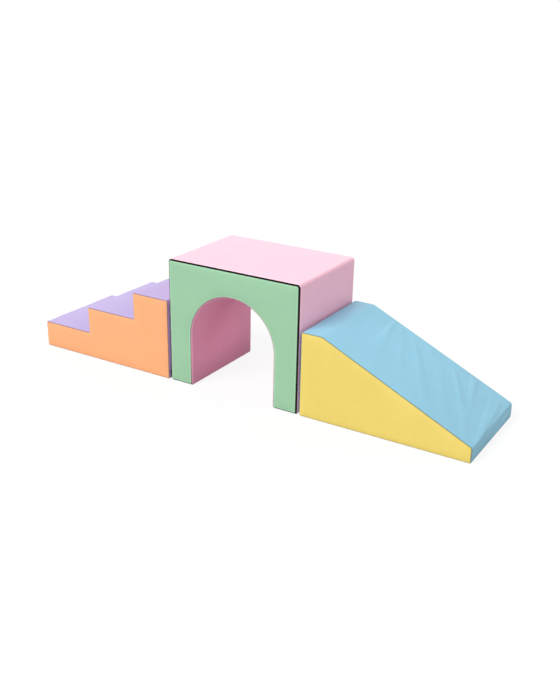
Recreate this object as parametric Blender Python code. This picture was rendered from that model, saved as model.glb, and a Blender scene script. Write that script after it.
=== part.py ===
"""A soft play set of three covered foam blocks: steps, a crawl-through tunnel and a slide.

Each block is a foam core inside a fitted cover of sewn panels. A black zip along one edge of the
cover lets the core out, and hook-and-loop strips hold the blocks together. Metres, +Z up. The set
runs along X, its front faces -Y, and the origin is on the floor under the middle of the tunnel.

Every skin is one closed section swept along a block's outline. The outline is drawn in the X-Z
plane, anticlockwise seen from the front. A point of the section is a Row: how far it lies inside
the outline, its place across the block along Y, and its share of the wall's swell.
"""

import math
from collections import namedtuple

import bmesh
import bpy
import numpy as np

MM = 0.001

# Tunnel block
TUNNEL_WIDTH = 600 * MM
TUNNEL_HEIGHT = 520 * MM
ARCH_WIDTH = 380 * MM
ARCH_HEIGHT = 408 * MM

# Steps block
STEP_RISE = 114 * MM
LOWER_TREAD = 250 * MM
TOP_TREAD = 180 * MM
STEPS_LENGTH = 2 * LOWER_TREAD + TOP_TREAD
STEPS_GAP = 8 * MM

# Slide block
SLIDE_HEIGHT = 3 * STEP_RISE
SLIDE_LENGTH = 690 * MM
SLIDE_GAP = 10 * MM
SLIDE_LANDING = 88 * MM
SLIDE_TOE = 62 * MM
SLIDE_CREST_RADIUS = 25 * MM

# All three blocks
DEPTH = 440 * MM
FOOT_RADIUS = 6 * MM
NOSE_RADIUS = 7 * MM
TOP_RADIUS = 14 * MM
CREASE_RADIUS = 4 * MM
SMALLEST_RADIUS = 1 * MM

# Cover and core
SKIN = 1.2 * MM
TOUCH = 0.3 * MM
SEAM_TRIM = 0.2 * MM
FACE_CROWN = 3 * MM
TOP_CROWN = 3 * MM
RISER_CROWN = 1.5 * MM

# How the cover turns an edge between a side face and a wall. The seam angles say where the face
# panel and the wall panel stop: 0 is where the flat face ends and 90 is where the wall starts.
Edge = namedtuple("Edge", "radius face_seam wall_seam core_chamfer")
PLAIN_EDGE = Edge(5 * MM, 43, 47, 6.5 * MM)
ZIP_EDGE = Edge(10 * MM, 24, 66, 11.6 * MM)
BOUND_EDGE = Edge(10 * MM, 24, 26, 11.6 * MM)

# Zip, measured from the block's sharp edge inwards along the diagonal
ZIP_SLIT = 1.2 * MM
TAPE_HALF_WIDTH = 4.2 * MM
TAPE_TOP = 6.8 * MM
TAPE_THICKNESS = 0.5 * MM
TEETH_HALF_WIDTH = 2.6 * MM
TEETH_TOP = 4.4 * MM
TEETH_CHAMFER = 0.5 * MM
STOP_LENGTH = 3 * MM
TEETH_SHORTER = 12 * MM

# Zip slider and its pull tab
SLIDER_LENGTH = 13 * MM
SLIDER_FRONT = 8 * MM
SLIDER_TAIL = 6.4 * MM
UPPER_WING = (2.7 * MM, 4.1 * MM)
LOWER_WING = (7.6 * MM, 8.8 * MM)
NECK_THICKNESS = 0.6 * MM
NECK_LENGTH = 4.5 * MM
BRIDGE_SPAN = 9 * MM
BRIDGE_WIDTH = 1.6 * MM
BRIDGE_THICKNESS = 1.2 * MM
BRIDGE_TOP = -0.6 * MM
PULL_AXIS = 1.65 * MM
PULL_BAR = 1.3 * MM
PULL_THICKNESS = 1.2 * MM
PULL_WIDTH = 7 * MM
PULL_LENGTH = 27 * MM
PULL_WINDOW_WIDTH = 2.8 * MM
PULL_WINDOW_LENGTH = 5.3 * MM
LOW_SLIDER_Z = 38 * MM
HIGH_SLIDER_Z = SLIDE_HEIGHT - 24 * MM

# Hook-and-loop strips
STRIP_WIDTH = 50 * MM
STRIP_HEIGHT = 230 * MM
STRIP_FOOT = 60 * MM
STRIP_SPREAD = 240 * MM

FRONT, REAR = -1, 1

Corner = namedtuple("Corner", "x z radius arc_steps side_steps side_crown")
Outline = namedtuple("Outline", "points normals swell middles")
Row = namedtuple("Row", "inset y swell")
Block = namedtuple("Block", "name corners x")

COLOURS = {
    "mint_vinyl": ((0.35, 0.63, 0.41), 0.5),
    "pink_vinyl": ((0.96, 0.65, 0.77), 0.5),
    "rose_vinyl": ((0.86, 0.38, 0.54), 0.5),
    "orange_vinyl": ((0.97, 0.48, 0.23), 0.5),
    "lilac_vinyl": ((0.60, 0.49, 0.86), 0.5),
    "yellow_vinyl": ((0.88, 0.70, 0.17), 0.5),
    "blue_vinyl": ((0.32, 0.65, 0.84), 0.5),
    "grip_fabric": ((0.16, 0.16, 0.17), 0.9),
    "foam": ((0.80, 0.77, 0.66), 0.95),
    "zip_tape": ((0.012, 0.012, 0.013), 0.85),
    "zip_teeth": ((0.015, 0.015, 0.016), 0.4),
    "zip_metal": ((0.03, 0.03, 0.032), 0.35),
    "hook_and_loop": ((0.02, 0.02, 0.022), 0.95),
}


def clear_scene():
    for item in list(bpy.data.objects):
        bpy.data.objects.remove(item)


def material(name):
    found = bpy.data.materials.get(name)
    if found:
        return found
    colour, roughness = COLOURS[name]
    made = bpy.data.materials.new(name)
    made.use_nodes = True
    shader = made.node_tree.nodes["Principled BSDF"]
    shader.inputs["Base Color"].default_value = (*colour, 1)
    shader.inputs["Roughness"].default_value = roughness
    shader.inputs["Metallic"].default_value = 1 if name == "zip_metal" else 0
    return made


def place_mesh(name, mesh, material_name, parent):
    mesh.materials.append(material(material_name))
    mesh.shade_smooth()
    mesh.set_sharp_from_angle(angle=math.radians(35))
    item = bpy.data.objects.new(name, mesh)
    bpy.context.scene.collection.objects.link(item)
    item.parent = parent
    return item


def finished_mesh(name, shape):
    """Turns a bmesh into a mesh whose faces point out."""
    bmesh.ops.recalc_face_normals(shape, faces=shape.faces)
    mesh = bpy.data.meshes.new(name)
    shape.to_mesh(mesh)
    shape.free()
    return mesh


def empty_at(name, location, parent=None):
    item = bpy.data.objects.new(name, None)
    item.location = location
    item.parent = parent
    bpy.context.scene.collection.objects.link(item)
    return item


def outline(corners, inset=0.0):
    """A block's rounded outline drawn in by inset: an outside corner gets tighter and an inside one
    wider, so lines of the same outline never cross. The swell is 0 at corners and follows
    1 - |2u - 1|^3 along a side, times the side's crown."""
    sharp = np.array([(c.x, c.z) for c in corners])
    along = np.roll(sharp, -1, axis=0) - sharp
    along /= np.linalg.norm(along, axis=1)[:, None]
    out = np.stack([along[:, 1], -along[:, 0]], axis=1)
    arcs = []
    for i, corner in enumerate(corners):
        before, after = along[i - 1], along[i]
        turn = math.atan2(before[0] * after[1] - before[1] * after[0], before @ after)
        bend = math.copysign(1, turn)
        radius = max(corner.radius - bend * inset, SMALLEST_RADIUS)
        tip = sharp[i] - inset * (out[i - 1] + out[i]) / (1 + out[i - 1] @ out[i])
        start = tip - before * radius * math.tan(abs(turn) / 2)
        centre = start - out[i - 1] * radius * bend
        angles = np.linspace(0, turn, corner.arc_steps + 1)
        cos, sin = np.cos(angles), np.sin(angles)
        nx, nz = out[i - 1]
        normals = np.stack([nx * cos - nz * sin, nx * sin + nz * cos], axis=1)
        arcs.append((centre + normals * radius * bend, normals))

    points, normals, swell, middles = [], [], [], []
    for i, corner in enumerate(corners):
        arc, arc_normals = arcs[i]
        joined = bool(points) and np.linalg.norm(arc[0] - points[-1]) < 1e-6
        first = 1 if joined else 0
        middles.append(len(points) - first + corner.arc_steps // 2)
        points.extend(arc[first:])
        normals.extend(arc_normals[first:])
        swell.extend([0.0] * (len(arc) - first))
        start, end = arc[-1], arcs[(i + 1) % len(corners)][0][0]
        for u in np.linspace(0, 1, corner.side_steps + 1)[1:-1]:
            points.append(start + u * (end - start))
            normals.append(out[i])
            swell.append(corner.side_crown * (1 - abs(2 * u - 1) ** 3))
    return Outline(np.array(points), np.array(normals), np.array(swell), middles)


def line_of(corners, row):
    """The closed line that one row draws round the block, as points in space."""
    path = outline(corners, row.inset)
    flat = path.points + path.normals * (path.swell * row.swell)[:, None]
    return [(x, row.y, z) for x, z in flat]


def stretch_of(corners, row, first, last, short=0.0):
    """The part of a row's line from corner first to corner last. Each end lies in the middle of the
    corner's arc, less a trim for the seam, or else at the distance short from the sharp corner."""
    path = outline(corners, row.inset)
    line = line_of(corners, row)
    skip = corners[first].arc_steps // 2 if short else 0
    start, end = path.middles[first] + skip, path.middles[last] - skip
    if end <= start:
        end += len(line)
    part = [np.array(line[k % len(line)]) for k in range(start, end + 1)]
    for tip, neighbour, corner in ((0, 1, corners[first]), (-1, -2, corners[last])):
        away = part[neighbour] - part[tip]
        away /= np.linalg.norm(away)
        reached = (part[tip] - np.array((corner.x, row.y, corner.z))) @ away
        part[tip] = part[tip] + away * (short - reached if short else SEAM_TRIM)
    return part


def closed_skin(name, lines):
    """Joins closed lines one after the other and fills the first and the last."""
    shape = bmesh.new()
    rings = [[shape.verts.new(p) for p in line] for line in lines]
    count = len(rings[0])
    for a, b in zip(rings, rings[1:]):
        for k in range(count):
            n = (k + 1) % count
            shape.faces.new((a[k], a[n], b[n], b[k]))
    shape.faces.new(rings[0])
    shape.faces.new(rings[-1])
    return finished_mesh(name, shape)


def swept_skin(name, lines):
    """Joins open lines into a closed section that runs along them, and fills both ends."""
    shape = bmesh.new()
    runs = [[shape.verts.new(p) for p in line] for line in lines]
    for a, b in zip(runs, runs[1:] + runs[:1]):
        for k in range(len(a) - 1):
            shape.faces.new((a[k], a[k + 1], b[k + 1], b[k]))
    shape.faces.new([run[0] for run in runs])
    shape.faces.new([run[-1] for run in runs])
    return finished_mesh(name, shape)


def edge_row(edge, angle, side, under):
    """A line on the rounded edge, at an angle that is 0 at the face and 90 at the wall."""
    radius = edge.radius - under
    turned = math.radians(angle)
    inset = edge.radius - radius * math.sin(turned)
    y = side * (DEPTH / 2 - edge.radius + radius * math.cos(turned))
    return Row(inset, y, 0)


def edge_angles(seam, end):
    """Angles from a seam to the end of the rounded edge, in steps of at most 25 degrees."""
    steps = math.ceil(abs(end - seam) / 25)
    return [seam + (end - seam) * k / steps for k in range(steps + 1)]


def face_rows(side, edge, under):
    """From the seam over the rounded edge to the crowned middle of a side face."""
    rows = [edge_row(edge, angle, side, under) for angle in edge_angles(edge.face_seam, 0)]
    for inset, share in ((20 * MM, 0.6), (32 * MM, 1.0)):
        rows.append(Row(inset, side * (DEPTH / 2 - under + FACE_CROWN * share), 0))
    return rows


def wall_rows(front, rear, under):
    """From the front edge's seam across a wall of the block to the rear edge's seam."""
    rows = [edge_row(front, angle, FRONT, under) for angle in edge_angles(front.wall_seam, 90)]
    for place, share in ((-0.78, 0.55), (-0.4, 1), (0.4, 1), (0.78, 0.55)):
        rows.append(Row(under, place * DEPTH / 2, share))
    back = [edge_row(rear, angle, REAR, under) for angle in edge_angles(rear.wall_seam, 90)]
    return rows + back[::-1]


def face_panel(block, parent, name, side, edge, material_name):
    rows = face_rows(side, edge, 0)[::-1] + face_rows(side, edge, SKIN)
    mesh = closed_skin(name, [line_of(block.corners, row) for row in rows])
    return place_mesh(name, mesh, material_name, parent)


def wall_panel(block, parent, name, corners, edges, material_name):
    """A strip of the cover between two corners of the outline, with its front and rear edges."""
    rows = wall_rows(*edges, 0) + wall_rows(*edges, SKIN)[::-1]
    mesh = swept_skin(name, [stretch_of(block.corners, row, *corners) for row in rows])
    return place_mesh(name, mesh, material_name, parent)


def foam_core(block, parent, front, rear):
    name = block.name + "_foam_core"
    under = SKIN + TOUCH
    half = DEPTH / 2
    rows = [
        Row(front.core_chamfer, -half + under, 0),
        Row(under, -half + front.core_chamfer, 0),
        Row(under, half - rear.core_chamfer, 0),
        Row(rear.core_chamfer, half - under, 0),
    ]
    mesh = closed_skin(name, [line_of(block.corners, row) for row in rows])
    return place_mesh(name, mesh, "foam", parent)


def zip_row(across, down, side):
    """A line beside the zip's middle: across towards the face panel, down into the block."""
    inset = (down + across) / math.sqrt(2)
    depth = (down - across) / math.sqrt(2)
    return Row(inset, side * (DEPTH / 2 - depth), 0)


def zip_half_sections(hand):
    """Closed sections of one tape and one row of teeth. hand is 1 beside the face panel and -1
    beside the wall."""
    slit = ZIP_SLIT / 2
    tape_bottom = TAPE_TOP + TAPE_THICKNESS
    tape = [(slit, TAPE_TOP), (TAPE_HALF_WIDTH, TAPE_TOP), (TAPE_HALF_WIDTH, tape_bottom), (slit, tape_bottom)]
    low, high, cut = TAPE_TOP - TOUCH, TEETH_TOP, TEETH_CHAMFER
    teeth = [
        (slit, low),
        (slit, high + cut),
        (slit + cut, high),
        (TEETH_HALF_WIDTH - cut, high),
        (TEETH_HALF_WIDTH, high + cut),
        (TEETH_HALF_WIDTH, low),
    ]
    return [[(hand * across, down) for across, down in section] for section in (tape, teeth)]


def zip_chain(block, parent, side, tapes, teeth):
    """Both tapes and both rows of teeth, each between two corners of the outline, and a stop at each
    end of the teeth."""
    for hand, edge in ((1, "face"), (-1, "wall")):
        tape_section, teeth_section = zip_half_sections(hand)
        name = f"{block.name}_zip_{edge}_tape"
        rows = [zip_row(across, down, side) for across, down in tape_section]
        lines = [stretch_of(block.corners, row, *tapes) for row in rows]
        place_mesh(name, swept_skin(name, lines), "zip_tape", parent)
        name = f"{block.name}_zip_{edge}_teeth"
        rows = [zip_row(across, down, side) for across, down in teeth_section]
        lines = [stretch_of(block.corners, row, *teeth, TEETH_SHORTER) for row in rows]
        place_mesh(name, swept_skin(name, lines), "zip_teeth", parent)

    stop = [(-TEETH_HALF_WIDTH, TAPE_TOP - TOUCH), (-TEETH_HALF_WIDTH, TEETH_TOP)]
    stop += [(-across, down) for across, down in reversed(stop)]
    rows = [zip_row(across, down, side) for across, down in stop]
    lines = [stretch_of(block.corners, row, *teeth, TEETH_SHORTER) for row in rows]
    for place, tip, inner in (("first", 0, 1), ("last", -1, -2)):
        name = f"{block.name}_zip_{place}_stop"
        bars = [stop_bar(line[tip], line[inner]) for line in lines]
        place_mesh(name, swept_skin(name, bars), "zip_metal", parent)


def stop_bar(tip, inner):
    """One edge of a stop, which carries on past the last tooth."""
    onward = (tip - inner) / np.linalg.norm(tip - inner)
    start = tip + onward * TOUCH
    return [start, start + onward * STOP_LENGTH]


def wing_solid(name, top_and_bottom, shrink=0.0):
    """One wing of the slider: a plate with round ends, wide in front and narrow at the tail."""
    near, far = top_and_bottom
    profile = []
    for radius, middle, start in (
        (SLIDER_FRONT / 2 - shrink, SLIDER_LENGTH / 2 - SLIDER_FRONT / 2, 0),
        (SLIDER_TAIL / 2 - shrink, SLIDER_TAIL / 2 - SLIDER_LENGTH / 2, 180),
    ):
        for angle in range(start, start + 181, 30):
            turned = math.radians(angle)
            profile.append((radius * math.cos(turned), middle + radius * math.sin(turned)))
    shape = bmesh.new()
    face = shape.faces.new([shape.verts.new((x, near, z)) for x, z in profile])
    extruded = bmesh.ops.extrude_face_region(shape, geom=[face])["geom"]
    bmesh.ops.translate(shape, verts=[g for g in extruded if isinstance(g, bmesh.types.BMVert)], vec=(0, far - near, 0))
    item = bpy.data.objects.new(name, finished_mesh(name, shape))
    bpy.context.scene.collection.objects.link(item)
    return item


def box_solid(name, low, high):
    shape = bmesh.new()
    bmesh.ops.create_cube(shape, size=1)
    for vert in shape.verts:
        vert.co = [low[k] + (vert.co[k] + 0.5) * (high[k] - low[k]) for k in range(3)]
    item = bpy.data.objects.new(name, finished_mesh(name, shape))
    bpy.context.scene.collection.objects.link(item)
    return item


def bridge_solid(name):
    """The loop on top of the slider that holds the pull: an arched bar over both ends."""
    half, thick = BRIDGE_SPAN / 2, BRIDGE_THICKNESS
    root = UPPER_WING[0] + 0.4 * MM
    corner = 1.5 * MM
    outer = [(-half, root), (-half, BRIDGE_TOP + corner), (-half + corner, BRIDGE_TOP)]
    inner = [(-half + thick, root), (-half + thick, BRIDGE_TOP + corner + 0.3 * MM), (-half + corner + 0.3 * MM, BRIDGE_TOP + thick)]
    profile = outer + [(-z, y) for z, y in reversed(outer)] + [(-z, y) for z, y in inner] + list(reversed(inner))
    shape = bmesh.new()
    face = shape.faces.new([shape.verts.new((-BRIDGE_WIDTH / 2, y, z)) for z, y in profile])
    extruded = bmesh.ops.extrude_face_region(shape, geom=[face])["geom"]
    moved = [g for g in extruded if isinstance(g, bmesh.types.BMVert)]
    bmesh.ops.translate(shape, verts=moved, vec=(BRIDGE_WIDTH, 0, 0))
    item = bpy.data.objects.new(name, finished_mesh(name, shape))
    bpy.context.scene.collection.objects.link(item)
    return item


def join_solids(target, others):
    """Joins overlapping solids into one body with Boolean unions, and hides what was added."""
    for item in others:
        item.hide_render = True
        item.display_type = "WIRE"
        item.parent = target
        union = target.modifiers.new("join_" + item.name, "BOOLEAN")
        union.operation = "UNION"
        union.object = item


def zip_slider(block, parent, edge_x, side, z, turn):
    """The slider stands on the block's sharp edge, turned so that its own +Y points into the block.
    Its wings run above the teeth and below the tapes, and its neck runs in the slit."""
    name = block.name + "_zip_slider"
    body = wing_solid(name, UPPER_WING)
    body.data.materials.append(material("zip_metal"))
    lower = wing_solid(name + "_lower_wing", LOWER_WING, shrink=0.5 * MM)
    overlap = 0.4 * MM
    neck = box_solid(
        name + "_neck",
        (-NECK_THICKNESS / 2, UPPER_WING[1] - overlap, 0),
        (NECK_THICKNESS / 2, LOWER_WING[0] + overlap, NECK_LENGTH),
    )
    bridge = bridge_solid(name + "_bridge")
    join_solids(body, [lower, neck, bridge])
    body.parent = parent
    body.location = (edge_x, side * DEPTH / 2, z)
    body.rotation_euler = (0, 0, math.radians(turn))
    return body


def zip_pull(block, slider):
    """A flat tab hanging from the slider's bridge. Its origin is on the hinge, and its window lets
    the bridge through as it swings."""
    name = block.name + "_zip_pull"
    half, reach = PULL_WIDTH / 2, PULL_LENGTH
    near, far = -PULL_THICKNESS / 2, PULL_THICKNESS / 2
    tab = box_solid(name, (-half, near, -reach), (half, far, PULL_BAR / 2))
    tab.data.materials.append(material("zip_metal"))
    shape = bmesh.new()
    shape.from_mesh(tab.data)
    upright = [e for e in shape.edges if abs(e.verts[0].co.y - e.verts[1].co.y) > PULL_THICKNESS / 2]
    low = [e for e in upright if e.verts[0].co.z < -reach / 2]
    high = [e for e in upright if e not in low]
    bmesh.ops.bevel(shape, geom=low, offset=2.6 * MM, segments=4, affect="EDGES", profile=0.5)
    bmesh.ops.bevel(shape, geom=high, offset=0.6 * MM, segments=2, affect="EDGES", profile=0.5)
    shape.to_mesh(tab.data)
    shape.free()
    window_top = -PULL_BAR / 2
    openings = (
        (PULL_WINDOW_WIDTH / 2, window_top - PULL_WINDOW_LENGTH, window_top),
        (PULL_WIDTH / 4, 6 * MM - reach, 14 * MM - reach),
    )
    for k, (half_width, bottom, top) in enumerate(openings):
        cutter = box_solid(f"{name}_opening_{k}", (-half_width, 2 * near, bottom), (half_width, 2 * far, top))
        cutter.hide_render = True
        cutter.display_type = "WIRE"
        cutter.parent = tab
        cut = tab.modifiers.new(f"opening_{k}", "BOOLEAN")
        cut.operation = "DIFFERENCE"
        cut.object = cutter
    tab.parent = slider
    tab.location = (0, PULL_AXIS, 0)
    return tab


def fastening_strips(name, wall_x, outward, gap, parent):
    """A pair of upright strips on an end wall of a block, with rounded corners. They fill half of the
    gap to the next block."""
    thickness = (gap - 3 * TOUCH) / 2
    near = wall_x + outward * TOUCH
    far = near + outward * thickness
    half, foot = STRIP_WIDTH / 2, STRIP_FOOT
    for place, middle in (("front", -STRIP_SPREAD / 2), ("rear", STRIP_SPREAD / 2)):
        low = (min(near, far), middle - half, foot)
        high = (max(near, far), middle + half, foot + STRIP_HEIGHT)
        strip = box_solid(f"{name}_{place}", low, high)
        shape = bmesh.new()
        shape.from_mesh(strip.data)
        across = [e for e in shape.edges if abs(e.verts[0].co.x - e.verts[1].co.x) > thickness / 2]
        bmesh.ops.bevel(shape, geom=across, offset=6 * MM, segments=3, affect="EDGES", profile=0.5)
        shape.to_mesh(strip.data)
        shape.free()
        strip.data.materials.append(material("hook_and_loop"))
        strip.parent = parent


def tunnel_block():
    half, arch = TUNNEL_WIDTH / 2, ARCH_WIDTH / 2
    corners = [
        Corner(-half, 0, FOOT_RADIUS, 4, 1, 0),
        Corner(-arch, 0, FOOT_RADIUS, 4, 1, 0),
        Corner(-arch, ARCH_HEIGHT, arch, 12, 1, 0),
        Corner(arch, ARCH_HEIGHT, arch, 12, 1, 0),
        Corner(arch, 0, FOOT_RADIUS, 4, 1, 0),
        Corner(half, 0, FOOT_RADIUS, 4, 1, 0),
        Corner(half, TUNNEL_HEIGHT, TOP_RADIUS, 4, 6, TOP_CROWN),
        Corner(-half, TUNNEL_HEIGHT, TOP_RADIUS, 4, 1, 0),
    ]
    return Block("tunnel", corners, 0)


def steps_block():
    """Its own origin is on the floor at the middle of its tall end wall."""
    rise, nose, crease = STEP_RISE, NOSE_RADIUS, CREASE_RADIUS
    second = -TOP_TREAD
    first = second - LOWER_TREAD
    low_end = -STEPS_LENGTH
    corners = [
        Corner(low_end, 0, FOOT_RADIUS, 4, 1, 0),
        Corner(0, 0, FOOT_RADIUS, 4, 1, 0),
        Corner(0, 3 * rise, nose, 4, 4, TOP_CROWN),
        Corner(second, 3 * rise, nose, 4, 4, RISER_CROWN),
        Corner(second, 2 * rise, crease, 4, 4, TOP_CROWN),
        Corner(first, 2 * rise, nose, 4, 4, RISER_CROWN),
        Corner(first, rise, crease, 4, 4, TOP_CROWN),
        Corner(low_end, rise, nose, 4, 4, RISER_CROWN),
    ]
    return Block("steps", corners, -TUNNEL_WIDTH / 2 - STEPS_GAP)


def slide_block():
    """Its own origin is on the floor at the middle of its tall end wall."""
    corners = [
        Corner(0, 0, FOOT_RADIUS, 4, 1, 0),
        Corner(SLIDE_LENGTH, 0, FOOT_RADIUS, 4, 4, RISER_CROWN),
        Corner(SLIDE_LENGTH, SLIDE_TOE, TOP_RADIUS, 4, 8, TOP_CROWN),
        Corner(SLIDE_LANDING, SLIDE_HEIGHT, SLIDE_CREST_RADIUS, 4, 3, RISER_CROWN),
        Corner(0, SLIDE_HEIGHT, NOSE_RADIUS, 4, 1, 0),
    ]
    return Block("slide", corners, TUNNEL_WIDTH / 2 + SLIDE_GAP)


def build_tunnel():
    block = tunnel_block()
    origin = empty_at("tunnel_origin", (block.x, 0, 0))
    zipped, arch = (ZIP_EDGE, PLAIN_EDGE), (BOUND_EDGE, PLAIN_EDGE)
    foam_core(block, origin, *zipped)
    face_panel(block, origin, "tunnel_front_panel", FRONT, ZIP_EDGE, "mint_vinyl")
    face_panel(block, origin, "tunnel_rear_panel", REAR, PLAIN_EDGE, "mint_vinyl")
    wall_panel(block, origin, "tunnel_outer_band", (5, 0), zipped, "pink_vinyl")
    wall_panel(block, origin, "tunnel_arch_lining", (1, 4), arch, "rose_vinyl")
    wall_panel(block, origin, "tunnel_left_foot_base", (0, 1), zipped, "grip_fabric")
    wall_panel(block, origin, "tunnel_right_foot_base", (4, 5), zipped, "grip_fabric")
    zip_chain(block, origin, FRONT, tapes=(4, 1), teeth=(5, 0))
    slider = zip_slider(block, origin, -TUNNEL_WIDTH / 2, FRONT, LOW_SLIDER_Z, -45)
    zip_pull(block, slider)
    fastening_strips("tunnel_left_loop_strip", -TUNNEL_WIDTH / 2, -1, STEPS_GAP, origin)
    fastening_strips("tunnel_right_loop_strip", TUNNEL_WIDTH / 2, 1, SLIDE_GAP, origin)


def build_steps():
    block = steps_block()
    origin = empty_at("steps_origin", (block.x, 0, 0))
    zipped, top = (PLAIN_EDGE, ZIP_EDGE), (PLAIN_EDGE, BOUND_EDGE)
    foam_core(block, origin, *zipped)
    face_panel(block, origin, "steps_front_panel", FRONT, PLAIN_EDGE, "orange_vinyl")
    face_panel(block, origin, "steps_rear_panel", REAR, ZIP_EDGE, "orange_vinyl")
    wall_panel(block, origin, "steps_tread_strip", (2, 0), top, "lilac_vinyl")
    wall_panel(block, origin, "steps_end_wall", (1, 2), zipped, "lilac_vinyl")
    wall_panel(block, origin, "steps_base", (0, 1), zipped, "orange_vinyl")
    zip_chain(block, origin, REAR, tapes=(0, 2), teeth=(0, 2))
    slider = zip_slider(block, origin, 0, REAR, HIGH_SLIDER_Z, 135)
    zip_pull(block, slider)
    fastening_strips("steps_hook_strip", 0, 1, STEPS_GAP, origin)


def build_slide():
    block = slide_block()
    origin = empty_at("slide_origin", (block.x, 0, 0))
    zipped, top = (PLAIN_EDGE, ZIP_EDGE), (PLAIN_EDGE, BOUND_EDGE)
    foam_core(block, origin, *zipped)
    face_panel(block, origin, "slide_front_panel", FRONT, PLAIN_EDGE, "yellow_vinyl")
    face_panel(block, origin, "slide_rear_panel", REAR, ZIP_EDGE, "yellow_vinyl")
    wall_panel(block, origin, "slide_run_strip", (1, 4), top, "blue_vinyl")
    wall_panel(block, origin, "slide_end_wall", (4, 0), zipped, "blue_vinyl")
    wall_panel(block, origin, "slide_base", (0, 1), zipped, "yellow_vinyl")
    zip_chain(block, origin, REAR, tapes=(4, 1), teeth=(4, 1))
    slider = zip_slider(block, origin, 0, REAR, HIGH_SLIDER_Z, -135)
    zip_pull(block, slider)
    fastening_strips("slide_hook_strip", 0, -1, SLIDE_GAP, origin)


def main():
    clear_scene()
    build_tunnel()
    build_steps()
    build_slide()


main()
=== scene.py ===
"""A soft play set: a crawl-through tunnel between a flight of steps and a slide.

Each block is foam in a fitted cover of sewn leatherette panels, with a black zip along one edge. All
sizes are in metres, +Z is up, and the set's front faces -Y.

A cover is described by its block's outline, a closed line in the X-Z plane drawn anticlockwise as
seen from the front. A panel is a grid: one direction runs along the outline and the other across the
block, and its swell, seams, puckers and folds are moves along the surface's normal.
"""

import math
from collections import namedtuple

import bmesh
import bpy
import numpy as np
from mathutils import Matrix, Vector
from mathutils.geometry import delaunay_2d_cdt


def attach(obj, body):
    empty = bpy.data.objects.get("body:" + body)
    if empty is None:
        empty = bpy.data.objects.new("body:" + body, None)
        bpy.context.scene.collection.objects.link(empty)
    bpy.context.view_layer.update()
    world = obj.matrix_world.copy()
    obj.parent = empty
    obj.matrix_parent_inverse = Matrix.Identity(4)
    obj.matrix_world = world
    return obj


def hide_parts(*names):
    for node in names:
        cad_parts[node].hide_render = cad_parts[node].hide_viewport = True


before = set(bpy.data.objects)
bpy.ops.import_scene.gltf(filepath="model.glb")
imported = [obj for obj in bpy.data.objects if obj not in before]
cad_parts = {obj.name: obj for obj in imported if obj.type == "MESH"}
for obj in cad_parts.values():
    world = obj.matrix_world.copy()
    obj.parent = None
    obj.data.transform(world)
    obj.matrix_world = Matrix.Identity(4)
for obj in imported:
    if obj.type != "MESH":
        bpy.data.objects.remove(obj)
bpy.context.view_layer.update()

MM = 0.001
FRONT, REAR = -1, 1

# The blocks, as in the part
TUNNEL_WIDTH, TUNNEL_HEIGHT = 600 * MM, 520 * MM
ARCH_WIDTH, ARCH_HEIGHT = 380 * MM, 408 * MM
STEP_RISE, LOWER_TREAD, TOP_TREAD = 114 * MM, 250 * MM, 180 * MM
STEPS_GAP, SLIDE_GAP = 8 * MM, 10 * MM
SLIDE_HEIGHT, SLIDE_LENGTH = 342 * MM, 690 * MM
SLIDE_LANDING, SLIDE_TOE = 88 * MM, 62 * MM
DEPTH = 440 * MM
FOOT_RADIUS, NOSE_RADIUS, DIP_RADIUS = 6 * MM, 7 * MM, 4 * MM
TOP_RADIUS, LANDING_RADIUS = 14 * MM, 25 * MM
LEAST_RADIUS = 0.8 * MM
TOP_CROWN, TREAD_CROWN, RISER_CROWN = 3 * MM, 3 * MM, 1.5 * MM
TOE_CROWN, RUN_CROWN, LANDING_CROWN = 4 * MM, 3 * MM, 2.5 * MM

# The net of the cover. SEAM_ROWS are distances from a seam in mm, EDGE_TURN is in degrees and
# TRIANGLE_HEIGHT is a share of a triangle's side.
SKIN = 1.2 * MM
COLUMN_SPACING = 5.5 * MM
ROW_SPACING = 7 * MM
SEAM_ROWS = (0, 0.45, 1.0, 2.0)
EDGE_TURN = 16
INNER_RING = 3 * MM
NET_SPACING = 7 * MM
NET_CLEAR = 0.55 * NET_SPACING
TRIANGLE_HEIGHT = 0.866

# Seams and hems. Beside a zip the seam's painted shade stays off HEM_CLEAR times the hem's height.
SEAM_DEPTH = 1.7 * MM
SEAM_WIDTH = 1.1 * MM
HEM_HEIGHT = 0.5 * MM
HEM_PLACE = 2.6 * MM
HEM_WIDTH = 1.6 * MM
HEM_CLEAR = 6
SEAM_SHADE = 4.5 * MM

# Swell and puckers of taut cloth. The lengths of the waves are in mm.
SWELL_WAVES = 5
SWELL_LENGTHS = (90, 320)
WALL_SWELL, FACE_SWELL = 0.35 * MM, 0.4 * MM
WALL_EASE, FACE_EASE = 16 * MM, 20 * MM
FACE_CROWN, CROWN_WIDTH = 3 * MM, 11 * MM
PUCKER_LENGTHS = (21, 28, 36, 47)
SEAM_PUCKER, END_PUCKER = 0.35 * MM, 0.25 * MM
PUCKER_REACH, PUCKER_RISE = 9 * MM, 1.5 * MM

# Loose cloth. It starts up to CLOTH_RISE above the foam, a little uneven, and its seams are held
# over HELD_WIDTH. cloth_folds uses the last three.
CLOTH_SPACING = 10 * MM
CLOTH_RISE = 3 * MM
CLOTH_UNEVEN = 0.08 * MM
HELD_WIDTH = 10 * MM
PULL_FRAMES, REST_FRAMES = 10, 18
CLOTH_SETTINGS = {
    "quality": 5,
    "mass": 0.3,
    "air_damping": 2,
    "tension_stiffness": 15,
    "compression_stiffness": 15,
    "shear_stiffness": 15,
}
FOLD_FINE = 8 * MM
FOLD_CAP = 8 * MM
FOAM_GIVE = 0.3 * MM

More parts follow.
